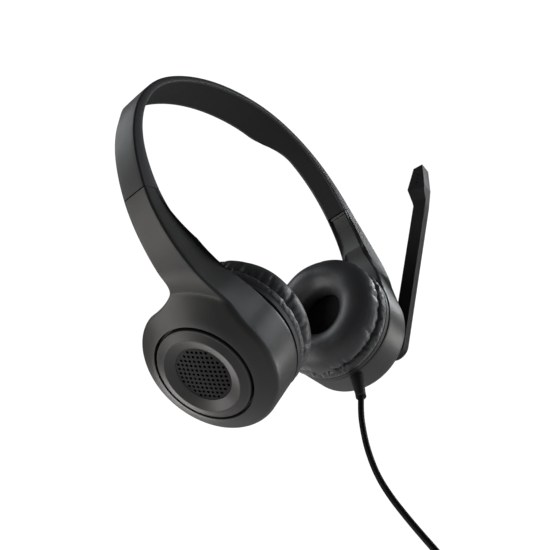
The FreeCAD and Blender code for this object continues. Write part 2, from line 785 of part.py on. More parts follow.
def plug_body():
    start = plug_origin()
    body = Part.makeCylinder(PLUG_BODY_R, PLUG_BODY_LENGTH, start, V(0, 0, -1))
    tail = Part.makeCone(2.4, PLUG_BODY_R, PLUG_TAIL, start + V(0, 0, PLUG_TAIL), V(0, 0, -1))
    return body.fuse(tail).removeSplitter()


def plug_stem(low, high, radius):
    top = plug_origin() - V(0, 0, PLUG_BODY_LENGTH + low)
    return Part.makeCylinder(radius, high - low, top, V(0, 0, -1))


def plug_contacts():
    """Sleeve, two rings and tip, kept apart by the insulator."""
    bore = plug_stem(0.0, 20, PLUG_CORE_R)
    shoulder = plug_stem(0.05, 0.8, 2.6).cut(bore)
    sleeve = plug_stem(0.8, 5.2, PLUG_R).cut(bore)
    ring_a = plug_stem(5.7, 7.7, PLUG_R).cut(bore)
    ring_b = plug_stem(8.2, 10.2, PLUG_R).cut(bore)
    neck = plug_stem(10.7, 12.4, PLUG_R).cut(bore)
    point = Part.makeCone(PLUG_R, 0.7, 1.6, plug_origin() - V(0, 0, 27.4), V(0, 0, -1))
    return group([shoulder.fuse(sleeve), ring_a, ring_b, neck.fuse(point)])


def plug_insulator():
    core = plug_stem(0.05, 12.3, PLUG_CORE_R - 0.02)
    rings = [plug_stem(a, a + 0.5, PLUG_R) for a in (5.2, 7.7, 10.2)]
    return core.fuse(rings)


# ---- writing ---------------------------------------------------------------------------------
def mirrored(shape):
    return shape.mirror(V(0, 0, 0), V(1, 0, 0))


def write(name, shape):
    shape.exportStep("parts/" + name + ".step")


def write_both(name, shape):
    write("left_" + name, shape)
    write("right_" + name, mirrored(shape))


os.makedirs("parts", exist_ok=True)

write("headband_shell", headband_shell())
write("headband_liner", headband_liner())
write("spring_strip", spring_strip())
write("band_lead", band_lead())
write("guide_screws", group([guide_screws(0.7), mirrored(guide_screws(0.7))]))
write_both("slider_guide", slider_guide())
write("detent_springs", group([detent_spring(), mirrored(detent_spring())]))

write("left_arm_shell", arm_shell_left())
write("right_arm_shell", mirrored(arm_body()))
write_both("arm_cover", arm_cover())
write_both("slider_strip", slider_strip())
write_both("strip_anchor", strip_anchor())
write_both("arm_screws", arm_screws())
write_both("tilt_pins", cup(tilt_pins()))
write("right_face_disc", mirrored(cup(face_disc())))
write("right_grille", mirrored(cup(grille())))
write("right_dust_cloth", mirrored(cup(dust_cloth())))

write_both("back_cup", inner(back_cup()))
write_both("baffle_plate", inner(baffle_plate()))
write_both("driver_frame", inner(driver_frame()))
write_both("driver_magnet", inner(driver_magnet()))
write_both("diaphragm", inner(diaphragm()))
write_both("ear_cloth", inner(ear_cloth()))
write_both("cushion_ring", inner(cushion_ring()))
write_both("ear_screws", inner(ear_screws()))
write_both("cushion_foam", inner(cushion_foam()))
write_both("cushion_cover", inner(cushion_cover()))
write("junction_board", inner(junction_board()))

write("boom_disc", boom(boom_disc()))
write("boom_retainer", boom(boom_retainer()))
write("boom_washer", boom(boom_washer()))
write("boom_screws", boom(boom_screws()))
write("boom_inner_half", boom(boom_inner_half()))
write("boom_outer_half", boom(boom_outer_half()))
write("mic_capsule", boom(mic_capsule()))
write("mic_boot", boom(mic_boot()))
write("mic_lead", boom(mic_lead()))

write("strain_relief", strain_relief())
write("cord", cord_run())
write("cord_coil", cord_coil())
write("coil_tie", coil_tie())
write("plug_body", plug_body())
write("plug_contacts", plug_contacts())
write("plug_insulator", plug_insulator())
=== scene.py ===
import json
import math
import random

import bmesh
import bpy
import numpy as np
from mathutils import Matrix, Vector
from mathutils.geometry import delaunay_2d_cdt


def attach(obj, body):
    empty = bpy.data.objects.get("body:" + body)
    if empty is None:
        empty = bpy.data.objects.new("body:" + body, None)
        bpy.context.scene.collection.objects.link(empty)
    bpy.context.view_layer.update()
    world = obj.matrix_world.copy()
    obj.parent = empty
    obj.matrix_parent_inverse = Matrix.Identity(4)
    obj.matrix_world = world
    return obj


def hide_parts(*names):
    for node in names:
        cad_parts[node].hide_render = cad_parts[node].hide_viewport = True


# Wired on-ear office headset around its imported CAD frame. Lengths below are millimetres in the
# frame's own axes (+X the wearer's left, -Y the front, +Z up); MM turns them into metres.

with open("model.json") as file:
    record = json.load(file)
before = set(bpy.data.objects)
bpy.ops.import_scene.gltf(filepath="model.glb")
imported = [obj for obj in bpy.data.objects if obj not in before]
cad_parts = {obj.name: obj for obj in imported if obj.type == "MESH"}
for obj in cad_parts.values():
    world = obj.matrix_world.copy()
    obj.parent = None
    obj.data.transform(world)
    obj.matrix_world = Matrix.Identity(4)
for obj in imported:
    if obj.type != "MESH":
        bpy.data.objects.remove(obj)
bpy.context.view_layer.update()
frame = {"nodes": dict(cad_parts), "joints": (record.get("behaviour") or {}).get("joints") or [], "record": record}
MM = 0.001
joints = {j["name"]: j for j in frame["joints"]}

# ---- sizes that the CAD model sets -----------------------------------------------------------
RIM_R = 31.0          # outer radius of a cup
SHELL_DEPTH = 18.6    # depth of the cup shell behind its rim
FACE_HOLE_R = 22.3    # opening for the disc in the cup's outer face
LEDGE_R = 19.0        # ledge under the disc
CROWN_Z = 120.3       # top of the headband's outer face
BAND_ARCS = ((115.0, 34.8), (73.2, 69.0), (97.3, 80.0))    # radius, length; crown first
SEAM_S = 122.5        # arc length from the crown to the seam between band and arm
BAND_FRONT = -16.8
BAND_REAR = 2.5
ARM_REAR = -4.1
CROWN_T = 3.2         # thickness at the crown, and how it grows with arc length
GROWTH_T = 5.1
GROWTH_POWER = 3.6
MOST_T = 15.0


# ---- small tools -----------------------------------------------------------------------------
def array(vector):
    return np.array(vector, float)


def smoothstep(low, high, x):
    t = np.clip((np.asarray(x, float) - low) / (high - low), 0.0, 1.0)
    return t * t * (3 - 2 * t)


def blend(ends, share):
    return ends[0] + (ends[1] - ends[0]) * share


def smooth_max(a, b, width):
    spread = np.maximum(width - np.abs(a - b), 0.0) / width
    return np.maximum(a, b) + spread * spread * width * 0.25


def add_mesh(name, verts, faces, smooth_angle=35.0):
    """Object from millimetre points, smooth except at sharp edges."""
    mesh = bpy.data.meshes.new(name)
    mesh.from_pydata([tuple(float(c) * MM for c in v) for v in verts], [], faces)
    mesh.validate()
    obj = bpy.data.objects.new(name, mesh)
    bpy.context.scene.collection.objects.link(obj)
    tidy_normals(obj, smooth_angle)
    return obj


def tidy_normals(obj, smooth_angle):
    work = bmesh.new()
    work.from_mesh(obj.data)
    bmesh.ops.remove_doubles(work, verts=work.verts, dist=1e-6)
    bmesh.ops.recalc_face_normals(work, faces=work.faces)
    limit = math.radians(smooth_angle)
    for face in work.faces:
        face.smooth = True
    for edge in work.edges:
        edge.smooth = len(edge.link_faces) != 2 or edge.calc_face_angle(0.0) < limit
    work.to_mesh(obj.data)
    work.free()


def join(name, parts):
    """One object from several lists of points and faces."""
    verts = []
    faces = []
    for part_verts, part_faces in parts:
        base = len(verts)
        verts += [tuple(v) for v in part_verts]
        faces += [tuple(base + i for i in f) for f in part_faces]
    return add_mesh(name, verts, faces)


def tube_faces(rows, columns):
    """Quads between closed rows of points, open at both ends."""
    faces = []
    for r in range(rows - 1):
        for c in range(columns):
            d = (c + 1) % columns
            faces.append((r * columns + c, r * columns + d, (r + 1) * columns + d,
                          (r + 1) * columns + c))
    return faces


# ---- frames ----------------------------------------------------------------------------------
CUP_CENTRE = array(joints["boom_swing"]["pos_m"]) / MM
CUP_OUT = array(joints["boom_swing"]["axis"])
CUP_REAR = array(joints["left_cup_tilt"]["axis"])
CUP_UP = np.cross(CUP_OUT, CUP_REAR)
TILT_PIVOT = array(joints["left_cup_tilt"]["pos_m"]) / MM
REST_TILT = math.radians(2.2)    # the inner cups rest with their tops leaning inwards


def cup_point(x, y, z):
    """Left cup's frame (rear, up, outwards) to the model's frame."""
    return (CUP_CENTRE + np.multiply.outer(x, CUP_REAR) + np.multiply.outer(y, CUP_UP)
            + np.multiply.outer(z, CUP_OUT))


def inner_point(x, y, z):
    """Inner cup's frame, leaned about the tilt pivot."""
    pivot_z = (TILT_PIVOT - CUP_CENTRE) @ CUP_OUT
    c, s = math.cos(-REST_TILT), math.sin(-REST_TILT)
    dz = np.asarray(z, float) - pivot_z
    y = np.asarray(y, float)
    return cup_point(x, y * c - dz * s, y * s + dz * c + pivot_z)


def mirror(points, side):
    points = np.array(points, float)
    if side == "right":
        points[..., 0] *= -1
    return points


# ---- headband curve --------------------------------------------------------------------------
REAR_STEP = (47.6, 70.5)    # distance from the middle over which the rear edge steps forward


def band_state(s):
    """Outer face at arc length s from the crown: x, z and heading below the horizontal."""
    x, z, heading = 0.0, CROWN_Z, 0.0
    left = s
    for radius, length in BAND_ARCS:
        step = min(left, length)
        turn = step / radius
        x += radius * (math.sin(heading + turn) - math.sin(heading))
        z += radius * (math.cos(heading + turn) - math.cos(heading))
        heading += turn
        left -= step
    return x, z, heading


def thickness(s):
    """Thickness of band and arm at arc length s."""
    return np.minimum(CROWN_T + GROWTH_T * (np.abs(s) / SEAM_S) ** GROWTH_POWER, MOST_T)


def band_frame(s):
    """Outer face point and inward normal at signed arc length s."""
    x, z, heading = band_state(abs(s))
    sign = -1.0 if s < 0 else 1.0
    return (np.array([sign * x, 0.0, z]),
            np.array([-sign * math.sin(heading), 0.0, -math.cos(heading)]))


def rear_edge(x):
    """Rear edge of the band: it steps forward between crown and ends."""
    return blend((BAND_REAR, ARM_REAR), float(smoothstep(*REAR_STEP, abs(x))))


# ---- arm with cup shell ----------------------------------------------------------------------
DOME = np.array([(0.0, 4.5), (FACE_HOLE_R, 4.5), (24.5, 3.7), (26.6, 2.65), (31.0, 0.35),
                 (70.0, -21.0)])    # radius and height of the cup's outer face
CREASE_R = 34.2          # where the scooped arm meets the dome
SCOOP_DEPTH = 1.4        # height of the scoop at the crease, and its fall per millimetre
SCOOP_SLOPE = 0.25
SCOOP_BLEND = 3.0
CREASE_BLEND = 0.5
CEILING = -1.6           # cup's inner face
BACK_RECESS = 0.12
BACK_FROM_UP = 8.0       # the side wall follows the cup below this height, the arm above the next
BACK_TO_UP = 44.0
CEILING_TO_BACK_R = (30.1, 30.7)
CEILING_TO_BACK_UP = (4.0, 9.0)
ON_ARM_UP = (12.0, 34.0)
# Cup's value, then the arm's, for the rounded rim of the face and the lip under the side wall.
ROUND_WIDTH = (1.9, 0.8)
ROUND_DROP = (2.3, 0.7)
WALL_LIP = (1.9, 0.9)
ROUND_STEPS = (1.0, 0.8, 0.6, 0.42, 0.26, 0.13, 0.04, 0.0)
SIDE_STEPS = (0.15, 0.3, 0.45, 0.6, 0.75, 0.88)
LOW_SPREAD = 0.4         # how much wider the cup is at its open side
ARM_FRONT_EDGE = [(-17.0, 42.0), (-17.8, 33.0), (-19.2, 21.0), (-20.8, 11.0), (-22.7, -1.0)]
ARM_REAR_EDGE = ((ARM_REAR - 1.0, 18.0), (ARM_REAR - 0.5, 30.0))
OUTLINE_SPACING = 0.6
OUTLINE_PASSES = 14
FACE_SPACING = 0.95
HOLE_SEGMENTS = 150
ARC_S = np.linspace(SEAM_S - 3.0, 183.6, 380)
ARC_STATE = np.array([band_state(s) for s in ARC_S])


def chart(y, z):
    """Point of the arm's outer face at (y, z), in the cup's rear and up coordinates."""
    s = np.interp(-z, -ARC_STATE[:, 1], ARC_S)
    x = np.interp(s, ARC_S, ARC_STATE[:, 0])
    offset = np.array([x, y, z]) - CUP_CENTRE
    return offset @ CUP_REAR, offset @ CUP_UP


ARC_UP = ((ARC_STATE[:, 0] - CUP_CENTRE[0]) * CUP_UP[0]
          + (ARC_STATE[:, 1] - CUP_CENTRE[2]) * CUP_UP[2])


def arc_at(up):
    """Arc length of the band at a height up the cup's plane."""
    return np.interp(-np.asarray(up, float), -ARC_UP, ARC_S)


def arm_point(right, up, depth):
    """Model point under the arm's outer face, measured along the band's own normal."""
    s = arc_at(up)
    x = np.interp(s, ARC_S, ARC_STATE[:, 0])
    z = np.interp(s, ARC_S, ARC_STATE[:, 1])
    turn = np.interp(s, ARC_S, ARC_STATE[:, 2])
    y = (right - CUP_REAR[0] * (x - CUP_CENTRE[0]) - CUP_REAR[2] * (z - CUP_CENTRE[2])) \
        / CUP_REAR[1] + CUP_CENTRE[1]
    return np.stack([x - np.sin(turn) * depth, y, z - np.cos(turn) * depth], -1)


def arm_height(right, up, depth=0.0):
    """Height of the same point over the cup's plane."""
    return (arm_point(right, up, depth) - CUP_CENTRE) @ CUP_OUT


def arm_thickness(up):
    return thickness(arc_at(up))


def top_height(right, up):
    """Height of the shell's outer face: the scooped arm meets the cup's dome in a crease."""
    right = np.asarray(right, float)
    up = np.asarray(up, float)
    radius = np.hypot(right, up)
    dome = np.interp(radius, DOME[:, 0], DOME[:, 1])
    scoop = SCOOP_DEPTH - SCOOP_SLOPE * (radius - CREASE_R)
    arm = -smooth_max(-arm_height(right, up), scoop, SCOOP_BLEND)
    return smooth_max(arm, dome, CREASE_BLEND)


def wall_share(up):
    """How much of the side wall's depth follows the arm, from none on the cup to all above it."""
    return smoothstep(BACK_FROM_UP, BACK_TO_UP, up)


def under_height(right, up):
    """Height of the shell's inner face: the arm's closed back and the cup's ceiling."""
    right = np.asarray(right, float)
    up = np.asarray(up, float)
    share = wall_share(up)
    back = arm_height(right, np.maximum(up, BACK_FROM_UP), arm_thickness(up))
    back = back * share - SHELL_DEPTH * (1 - share) + BACK_RECESS
    outside = (smoothstep(*CEILING_TO_BACK_R, np.hypot(right, up))
               * smoothstep(*CEILING_TO_BACK_UP, up))
    return CEILING + (back - CEILING) * outside


def resample(points, spacing):
    points = np.array(points, float)
    steps = np.hypot(*np.diff(points, axis=0).T)
    run = np.concatenate([[0.0], np.cumsum(steps)])
    count = max(int(run[-1] / spacing), 2) + 1
    at = np.linspace(0.0, run[-1], count)
    return np.stack([np.interp(at, run, points[:, 0]), np.interp(at, run, points[:, 1])], -1)


def smooth_line(points, passes):
    points = points.copy()
    for _ in range(passes):
        middle = (points[:-2] + points[2:]) / 2
        points[1:-1] += (middle - points[1:-1]) * 0.5
    return points


def shell_outline():
    """Seam's front corner, down the arm's front edge, round the cup, and up to the seam again."""
    z_seam = band_state(SEAM_S + 0.5)[1]
    line = [chart(y, z) for y, z in [(BAND_FRONT, z_seam)] + ARM_FRONT_EDGE]
    for degrees in range(166, 442, 4):
        angle = math.radians(degrees)
        line.append((RIM_R * math.cos(angle), RIM_R * math.sin(angle)))
    rear_x, start_up = chart(ARM_REAR - 1.1, 14.5)
    end = array(line[-1])
    corner = array((rear_x, end[1] + 0.25))
    start = array((rear_x, start_up - 1.5))
    for i in range(13):
        t = i / 12
        line.append(tuple(end * (1 - t) ** 2 + corner * 2 * t * (1 - t) + start * t * t))
    for y, z in ARM_REAR_EDGE + ((ARM_REAR, z_seam),):
        line.append(chart(y, z))
    return smooth_line(resample(line, OUTLINE_SPACING), OUTLINE_PASSES)


def inward_normals(line):
    """Normals towards the inside of the outline, square to the seam at its two ends."""
    along = np.gradient(line, axis=0)
    along /= np.hypot(along[:, 0], along[:, 1])[:, None]
    normal = np.stack([-along[:, 1], along[:, 0]], -1)
    normal[0] = (1.0, 0.0)
    normal[-1] = (-1.0, 0.0)
    return normal


def inside(points, polygon):
    """Which points lie inside a closed polygon, by crossings to one side."""
    x, y = points[:, 0][:, None], points[:, 1][:, None]
    ax, ay = polygon[:, 0][None], polygon[:, 1][None]
    bx, by = np.roll(ax, -1, 1), np.roll(ay, -1, 1)
    crosses = (ay > y) != (by > y)
    slope = np.where(by == ay, 1e9, by - ay)
    hit = crosses & (x < (bx - ax) * (y - ay) / slope + ax)
    return hit.sum(1) % 2 == 1


def fill_between(border, hole, spacing):
    """Triangles between a border and a round hole: points, faces, first the border and hole."""
    low = border.min(0)
    high = border.max(0)
    xs = np.arange(low[0], high[0], spacing)
    ys = np.arange(low[1], high[1], spacing * 0.87)
    grid = np.array([(x + (j % 2) * spacing / 2, y) for j, y in enumerate(ys) for x in xs])
    grid = grid[inside(grid, border)]
    hole_r = np.hypot(hole[0, 0], hole[0, 1])
    grid = grid[np.hypot(grid[:, 0], grid[:, 1]) > hole_r + spacing * 0.6]
    near = np.full(len(grid), 1e9)
    for p in border:
        near = np.minimum(near, np.hypot(grid[:, 0] - p[0], grid[:, 1] - p[1]))
    grid = grid[near > spacing * 0.55]
    points = np.vstack([border, hole, grid])
    loops = [(i, (i + 1) % len(border)) for i in range(len(border))]
    base = len(border)
    loops += [(base + i, base + (i + 1) % len(hole)) for i in range(len(hole))]
    result = delaunay_2d_cdt([Vector(p) for p in points.tolist()], loops, [], 0, 1e-6)
    out = np.array([tuple(v) for v in result[0]])
    tris = np.array([tuple(f) for f in result[2]])
    middle = out[tris].mean(1)
    keep = inside(middle, border) & (np.hypot(middle[:, 0], middle[:, 1]) > hole_r * 0.9995)
    assert len(out) == len(points)
    return out, tris[keep]


def shell_parts():
    """Closed skin of one arm with its cup shell, in the model's frame."""
    line = shell_outline()
    normal = inward_normals(line)
    up = line[:, 1]
    on_arm = smoothstep(*ON_ARM_UP, up)
    n = len(line)
    verts = []
    faces = []

    def row(points):
        verts.extend(points)
        return len(verts) - n

    rows = []
    width = blend(ROUND_WIDTH, on_arm)
    for f in ROUND_STEPS:
        drop = blend(ROUND_DROP, on_arm) * (1 - math.sqrt(1 - (1 - f) ** 2))
        spot = line + normal * (width * f)[:, None]
        rows.append(row(cup_point(spot[:, 0], spot[:, 1], top_height(*spot.T) - drop)))
    top_edge = np.array(verts[rows[-1]:rows[-1] + n])
    wide = 1 + LOW_SPREAD / RIM_R
    cup_low = cup_point(line[:, 0] * wide, line[:, 1] * wide, np.full(n, -SHELL_DEPTH))
    arm_low = arm_point(line[:, 0], up, arm_thickness(up))
    share = wall_share(up)[:, None]
    low = cup_low * (1 - share) + arm_low * share
    down = low - top_edge
    depth = np.linalg.norm(down, axis=1)[:, None]
    down /= depth
    side = np.multiply.outer(normal[:, 0], CUP_REAR) + np.multiply.outer(normal[:, 1], CUP_UP)
    for f in SIDE_STEPS:
        rows.append(row(top_edge + down * depth * f))
    lip = blend(WALL_LIP, on_arm)[:, None]
    for back, inset in ((0.5, 0.0), (0.15, 0.12), (0.0, 0.45)):
        rows.append(row(low - down * back + side * inset))
    rows.append(row(low + side * (lip - 0.2)))
    rows.append(row(low - down * 0.2 + side * lip))
    inner = line + normal * lip
    floor = under_height(inner[:, 0], inner[:, 1])
    rows.append(row(cup_point(inner[:, 0], inner[:, 1], floor)))
    for a, b in zip(rows, rows[1:]):
        faces += [(a + i, a + i + 1, b + i + 1, b + i) for i in range(n - 1)]

    segments = HOLE_SEGMENTS
    turn = np.linspace(0, 2 * math.pi, segments, endpoint=False)
    circle = np.stack([np.cos(turn), np.sin(turn)], -1)
    cap = []
    for start, hole_r, height in ((rows[0], FACE_HOLE_R + 0.35, top_height),
                                  (rows[-1], LEDGE_R, under_height)):
        edge = line + normal * (width if start == rows[0] else lip[:, 0])[:, None]
        seam = np.linspace(edge[-1], edge[0], 16)[1:-1]
        border = np.vstack([edge, seam])
        flat, tris = fill_between(border, circle * hole_r, FACE_SPACING)
        extra = len(verts) - n
        verts.extend(cup_point(flat[n:, 0], flat[n:, 1], height(flat[n:, 0], flat[n:, 1])))
        index = np.concatenate([np.arange(start, start + n), np.arange(n, len(flat)) + extra])
        faces.extend(tuple(int(k) for k in index[t]) for t in tris)
        cap.append([int(k) for k in index[n:n + len(seam)]])
        first = int(index[len(border)])
        if height is top_height:
            ring = first
            for radius, z in ((FACE_HOLE_R + 0.12, 4.42), (FACE_HOLE_R, 4.2), (FACE_HOLE_R, 1.0),
                              (LEDGE_R, 1.0)):
                verts.extend(cup_point(circle[:, 0] * radius, circle[:, 1] * radius,
                                       np.full(segments, z)))
                new = len(verts) - segments
                faces.extend((ring + i, ring + (i + 1) % segments, new + (i + 1) % segments,
                              new + i) for i in range(segments))
                ring = new
        else:
            faces.extend((ring + i, ring + (i + 1) % segments, first + (i + 1) % segments,
                          first + i) for i in range(segments))
    end = rows + cap[1][::-1] + [r + n - 1 for r in rows[::-1]] + cap[0]
    faces.append(tuple(int(i) for i in end))
    return verts, faces


INNER_WALL = ((29.9, -17.5), (31.0, -17.5), (31.0, -2.6), (29.9, -2.6))    # radius, height
END_WALL_S = (SEAM_S + 0.35, SEAM_S + 1.8)
END_WALL = ((-15.6, 0.6), (-5.2, 0.6), (-5.2, 6.9), (-15.6, 6.9))          # y, depth


def inner_wall():
    """The cup's wall where the arm passes over it."""
    angles = np.radians(np.linspace(92.0, 176.0, 44))
    rows = []
    for radius, h in INNER_WALL:
        rows.append(cup_point(np.cos(angles) * radius, np.sin(angles) * radius,
                              np.full(len(angles), h)))
    verts = [p for r in rows for p in r]
    m = len(angles)
    faces = []
    for a in range(4):
        b = (a + 1) % 4
        faces += [(a * m + i, a * m + i + 1, b * m + i + 1, b * m + i) for i in range(m - 1)]
    faces += [(0, m, 2 * m, 3 * m), (m - 1, 4 * m - 1, 3 * m - 1, 2 * m - 1)]
    return verts, faces


def arm_end_wall():
    """Six-sided block that closes the arm where it meets the band."""
    corners = []
    for s in END_WALL_S:
        face, inwards = band_frame(s)
        for y, depth in END_WALL:
            corners.append(face + inwards * depth + np.array([0.0, y, 0.0]))
    return corners, [(0, 1, 2, 3), (7, 6, 5, 4), (0, 4, 5, 1), (1, 5, 6, 2),
                     (2, 6, 7, 3), (3, 7, 4, 0)]


def arm_shell(side):
    parts = [shell_parts(), inner_wall(), arm_end_wall()]
    parts = [(mirror(v, side), f) for v, f in parts]
    obj = join(side + "_shell", parts)
    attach(obj, side + "_arm")
    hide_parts(side + "_arm_shell", side + "_arm_cover")


# ---- headband --------------------------------------------------------------------------------
BAND_WALL = 1.3
BAND_CORNER_R = 0.8
BAND_CROWNING = 0.5      # four times the rise of the outer face between its edges


def headband():
    """Hollow band: crowned outer face, flat sides, and a rim round the liner."""
    stations = np.linspace(-SEAM_S, SEAM_S, 200)
    verts = []
    for s in stations:
        face, inwards = band_frame(s)
        t = thickness(s)
        y0 = BAND_FRONT
        y1 = rear_edge(face[0])
        # Distance in from an edge, and depth: up the side wall and round the corner.
        half = [(BAND_WALL, t - 0.03), (0.4, t), (0.12, t - 0.12), (0.0, t - 0.4), (0.0, t * 0.5)]
        for k in range(6):
            turn = math.radians(18 * k)
            half.append((BAND_CORNER_R * (1 - math.cos(turn)),
                         BAND_CORNER_R * (1 - math.sin(turn))))
        outer = [(y0 + a, d) for a, d in half]
        for f in (0.15, 0.3, 0.5, 0.7, 0.85):
            y = y0 + BAND_CORNER_R + (y1 - y0 - 2 * BAND_CORNER_R) * f
            outer.append((y, -BAND_CROWNING * f * (1 - f)))
        outer += [(y1 - a, d) for a, d in half[::-1]]
        outer += [(y1 - BAND_WALL, BAND_WALL), (y0 + BAND_WALL, BAND_WALL)]
        for y, d in outer:
            verts.append(face + inwards * d + np.array([0.0, y, 0.0]))
    columns = len(outer)
    faces = tube_faces(len(stations), columns)
    faces.append(tuple(range(columns)))
    faces.append(tuple(range((len(stations) - 1) * columns, len(stations) * columns)))
    obj = add_mesh("headband", verts, faces, 40.0)
    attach(obj, "headband")
    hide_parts("headband_shell")


# ---- cushions --------------------------------------------------------------------------------
CUSHION_SECTION = [(15.2, -25.7), (22.0, -25.7), (30.5, -25.6), (30.6, -24.0), (30.6, -22.9),
                   (30.95, -22.75), (31.25, -23.5), (31.35, -24.8), (31.1, -26.2), (30.4, -27.4),
                   (28.6, -28.2), (29.8, -28.9), (30.6, -30.3), (30.8, -32.0), (30.5, -34.0),
                   (29.6, -36.1), (28.1, -38.1), (25.9, -39.9), (23.3, -41.0), (20.4, -41.4),
                   (17.5, -41.1), (14.9, -40.2), (12.9, -38.7), (11.8, -36.8), (11.5, -34.4),
                   (11.8, -31.9), (12.8, -29.6), (14.2, -27.4)]
CREASE_ROW = 10
CUSHION_COLUMNS = 400
FOLD_DEEP = (0.2, 0.8)
FOLD_SINK = 1.3          # how far a full fold draws the cover in
WAVE_SWELL = 0.4
PUFF_FRAMES = 16
PUFF_MOST = 0.8
PUFF_SCALE = 10          # cloth settles better on a larger ring
PINNED_FIRST = 11        # section points held at the skirt, and inside the ear hole
PINNED_LAST = 5
RIGHT_TURN = math.radians(74.0)    # the right cushion shows another part of the same ring


def cushion_rest():
    """Ring of (angle, section) points, with folds of uneven size gathered into the crease."""
    rng = random.Random(11)
    section = []
    for i, (r0, h0) in enumerate(CUSHION_SECTION):
        r1, h1 = CUSHION_SECTION[(i + 1) % len(CUSHION_SECTION)]
        section.append((r0, h0))
        section.append(((r0 + r1) / 2, (h0 + h1) / 2))
    section = np.array(section)
    crease = 2 * CREASE_ROW
    steps = np.hypot(*np.diff(section, axis=0).T)
    run = np.concatenate([[0.0], np.cumsum(steps)])
    run -= run[crease]
    angles = np.linspace(0, 2 * math.pi, CUSHION_COLUMNS, endpoint=False)
    theta, along = np.meshgrid(angles, run, indexing="ij")
    fold = np.zeros_like(theta)
    at = 0.0
    while at < 2 * math.pi - 0.03:
        deep = rng.uniform(*FOLD_DEEP)
        width = math.radians(rng.uniform(1.1, 1.6) + 1.6 * deep)
        long = rng.uniform(2.2, 3.8) + 6.5 * deep * rng.random()
        slant = math.radians(rng.uniform(-0.45, 0.45))
        gap = (theta - at - slant * along + math.pi) % (2 * math.pi) - math.pi
        reach = np.where(along > 0, long, 0.9 + 0.2 * long)
        fold += deep * np.exp(-(gap / width) ** 2) * np.exp(-(along / reach) ** 2)
        at += math.radians(rng.uniform(4.0, 8.6))
    fold *= smoothstep(-6.5, -4.0, along) * (1 - smoothstep(11.0, 14.0, along))
    wave = 0.16 * np.sin(theta * 5 + 0.7) + 0.12 * np.sin(theta * 9 + 2.1)
    wave *= smoothstep(2.0, 8.0, along) * (1 - smoothstep(26.0, 31.0, along))
    radius = section[None, :, 0] - FOLD_SINK * fold + WAVE_SWELL * wave
    height = np.repeat(section[None, :, 1], CUSHION_COLUMNS, 0) - wave * 0.6
    return np.stack([np.cos(theta) * radius, np.sin(theta) * radius, height], -1)


def puff(verts):
    """Cloth under light pressure, pinned at the skirt, the crease and inside the ear hole."""
    count = verts.shape[1]
    columns = verts.shape[0]
    mesh = bpy.data.meshes.new("cushion_rest")
    mesh.from_pydata([tuple(v * MM * PUFF_SCALE) for v in verts.reshape(-1, 3)], [],
                     ring_faces(columns, count))
    obj = bpy.data.objects.new("cushion_rest", mesh)
    bpy.context.scene.collection.objects.link(obj)
    pin = obj.vertex_groups.new(name="pin")
    crease = 2 * CREASE_ROW
    held = [k for k in range(count) if k <= PINNED_FIRST or k >= count - PINNED_LAST]
    for c in range(columns):
        for k in held + [crease]:
            pin.add([c * count + k], 1.0, "REPLACE")
    mod = obj.modifiers.new("cloth", "CLOTH")
    cloth = mod.settings
    cloth.quality = 6
    cloth.mass = 0.15
    cloth.tension_stiffness = 12
    cloth.compression_stiffness = 12
    cloth.shear_stiffness = 5
    cloth.bending_stiffness = 0.25
    cloth.use_pressure = True
    cloth.uniform_pressure_force = 3.0
    cloth.shrink_min = -0.03
    cloth.vertex_group_mass = "pin"
    cloth.effector_weights.gravity = 0.0
    mod.collision_settings.use_collision = False
    scene = bpy.context.scene
    for f in range(1, PUFF_FRAMES + 1):
        scene.frame_set(f)
    graph = bpy.context.evaluated_depsgraph_get()
    done = obj.evaluated_get(graph)
    flat = np.empty(len(mesh.vertices) * 3, np.float32)
    done.data.vertices.foreach_get("co", flat)
    out = flat.reshape(columns, count, 3).astype(float) / (MM * PUFF_SCALE)
    bpy.data.objects.remove(obj)
    bpy.data.meshes.remove(mesh)
    scene.frame_set(1)
    move = out - verts
    far = np.linalg.norm(move, axis=-1)[..., None]
    return verts + move * np.minimum(1.0, PUFF_MOST / np.maximum(far, 1e-6))


def ring_faces(columns, count):
    """Quads of a ring that closes both round itself and round its section."""
    faces = []
    for c in range(columns):
        d = (c + 1) % columns
        for k in range(count):
            m = (k + 1) % count
            faces.append((c * count + k, c * count + m, d * count + m, d * count + k))
    return faces


def cushions():
    verts = cushion_rest()
    verts = puff(verts)
    columns, count = verts.shape[:2]
    for side, turn in (("left", 0.0), ("right", RIGHT_TURN)):
        c, s = math.cos(turn), math.sin(turn)
        x = verts[..., 0] * c - verts[..., 1] * s
        y = verts[..., 0] * s + verts[..., 1] * c
        model = mirror(inner_point(x.ravel(), y.ravel(), verts[..., 2].ravel()), side)
        obj = add_mesh(side + "_cushion", model, ring_faces(columns, count), 180.0)
        smooth = obj.modifiers.new("smooth", "SUBSURF")
        smooth.levels = 1
        smooth.render_levels = 1
        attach(obj, side + "_ear")
        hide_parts(side + "_cushion_cover", side + "_cushion_foam")


# ---- cord ------------------------------------------------------------------------------------
CORD_D = 3.0
CORD_ROUTE = [(25.5, 0.0, -58.4), (18.8, -0.8, -66.7), (10.7, -3.0, -75.9), (1.1, -7.5, -87.2),
              (-6.0, -13.1, -96.9), (-11.1, -18.5, -105.2), (-15.3, -23.7, -113.3),
              (-18.7, -28.5, -120.7), (-22.3, -33.2, -127.7), (-25.2, -37.3, -134.8),
              (-26.6, -40.3, -142.0), (-27.0, -41.8, -149.0), (-27.0, -42.0, -155.5)]
COIL_R = 17.8
OUTER_TURN = 5.2
CORD_REACH = 10.5
